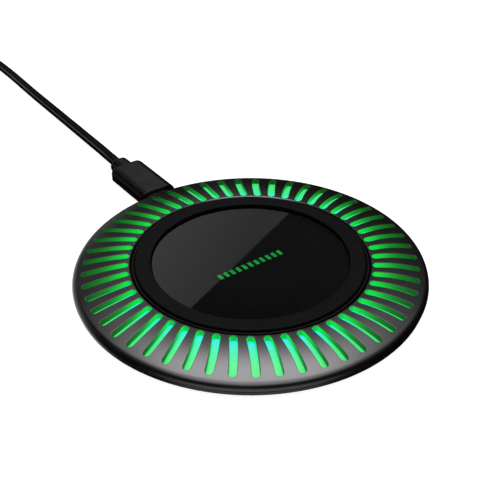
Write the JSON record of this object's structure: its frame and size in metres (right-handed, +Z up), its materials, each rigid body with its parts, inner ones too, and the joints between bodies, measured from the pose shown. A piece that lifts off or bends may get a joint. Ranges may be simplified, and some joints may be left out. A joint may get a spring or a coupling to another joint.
{
  "type": "wireless charging pad",
  "caption": "Low round wireless charging pad: slotted metal bezel lit from below, recessed dark window in a raised rim, and a detachable lead from its side port.",
  "frame": {"origin": "centre of the plane the feet stand on, on the pad's axis", "axes": "+Z up through the charging face, +Y out of the lead's port, indicator bar along X"},
  "size_m": [0.1266, 0.2522, 0.008],
  "materials": {
    "base_plastic": "fine moulded texture",
    "foot_rubber": "matt",
    "steel": "bright zinc plated",
    "bezel_metal": "satin gunmetal",
    "guide_green": "frosted, lit from inside",
    "white_film": "white reflective",
    "led": "clear over die",
    "board": "solder mask",
    "chip_black": "moulded epoxy",
    "capacitor": "ceramic with tinned ends",
    "inductor": "pressed ferrite",
    "deck_plastic": "smooth matt",
    "trim_black": "gloss",
    "window_gloss": "dark tinted, polished",
    "tape_black": "adhesive film",
    "mask_black": "printed film",
    "indicator_green": "frosted, lit",
    "copper": "enamelled copper wire",
    "ferrite": "sintered ferrite",
    "foam": "closed-cell foam",
    "bead": "glass bead in lacquer",
    "connector_plastic": "moulded",
    "gold": "gold flash",
    "grip_plastic": "soft satin",
    "cable_pvc": "satin",
    "core_pvc": "coloured insulation"
  },
  "bodies": {
    "pad": {"base_cover": "base_plastic", "rubber_feet": "foot_rubber", "case_screws": "steel", "bezel_ring": "bezel_metal", "light_guide": "guide_green", "reflector_ring": "white_film", "ring_leds": "led", "main_board": "board", "controller_chip": "chip_black", "power_transistors": "chip_black", "resonant_capacitors": "capacitor", "filter_inductor": "inductor", "chip_passives": "capacitor", "top_deck": "deck_plastic", "trim_ring": "trim_black", "window_disc": "window_gloss", "window_adhesive": "tape_black", "indicator_mask": "mask_black", "indicator_light_bar": "indicator_green", "indicator_board": "board", "indicator_leds": "led", "coil_thermistor": "bead", "foam_pad": "foam", "ferrite_plate": "ferrite", "coil_adhesive": "tape_black", "charging_coil": "copper", "coil_leads": "copper", "receptacle_shell": "steel", "receptacle_tongue": "connector_plastic", "receptacle_contacts": "gold"},
    "lead": {"plug_shell": "steel", "plug_insert": "connector_plastic", "plug_contacts": "gold", "plug_board": "board", "plug_grip": "grip_plastic", "cable_jacket": "cable_pvc", "cable_cores": "core_pvc", "host_plug_grip": "grip_plastic", "host_plug_shell": "steel", "host_plug_insulator": "connector_plastic", "host_plug_contacts": "gold"}
  },
  "joints": [
    {"name": "plug_withdrawal", "type": "slide", "parent": "pad", "child": "lead", "axis": [0, 1, 0], "range_m": [0, 0.02]}
  ]
}
